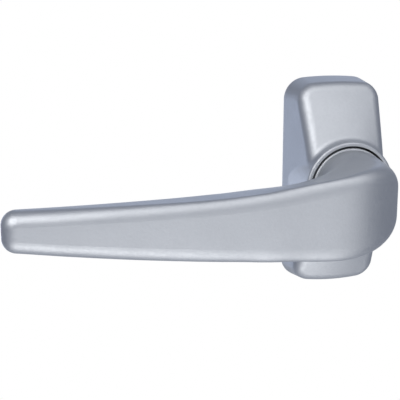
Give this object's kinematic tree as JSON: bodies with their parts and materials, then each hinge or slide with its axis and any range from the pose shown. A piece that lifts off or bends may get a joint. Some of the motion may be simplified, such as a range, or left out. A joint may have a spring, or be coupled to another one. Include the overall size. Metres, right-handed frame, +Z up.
{
  "type": "door lever",
  "caption": "Sprung door lever: a flat tapered grip bends out of a round collar on a narrow oblong rose, with a square spindle and fixing screws behind.",
  "frame": {"origin": "where the turning axis meets the door face, midway between the two fixing screws", "axes": "+X right along the door, away from the grip's tip, +Y into the door, +Z up"},
  "size_m": [0.131, 0.0781, 0.0722],
  "materials": {
    "silver_lever": "satin",
    "silver_rose": "satin",
    "plate_casting": "as cast",
    "bush_plastic": "matte",
    "zinc_steel": "bright zinc",
    "spring_steel": "oiled",
    "black_steel": "black oxide"
  },
  "bodies": {
    "rose": {"rose_cover": "silver_rose", "base_plate": "plate_casting", "bearing_bush": "bush_plastic", "fixing_screws": "zinc_steel", "return_spring": "spring_steel"},
    "handle": {"lever": "silver_lever", "spindle": "zinc_steel", "grub_screw": "black_steel", "drive_plate": "zinc_steel", "retaining_ring": "spring_steel"}
  },
  "joints": [
    {"name": "lever_turn", "type": "hinge", "parent": "rose", "child": "handle", "pos_m": [0, 0, 0], "axis": [0, -1, 0], "range_deg": [0, 45], "stiffness_Nm_per_rad": 0.8, "springref_deg": -34.38, "deforming": ["return_spring"]}
  ]
}
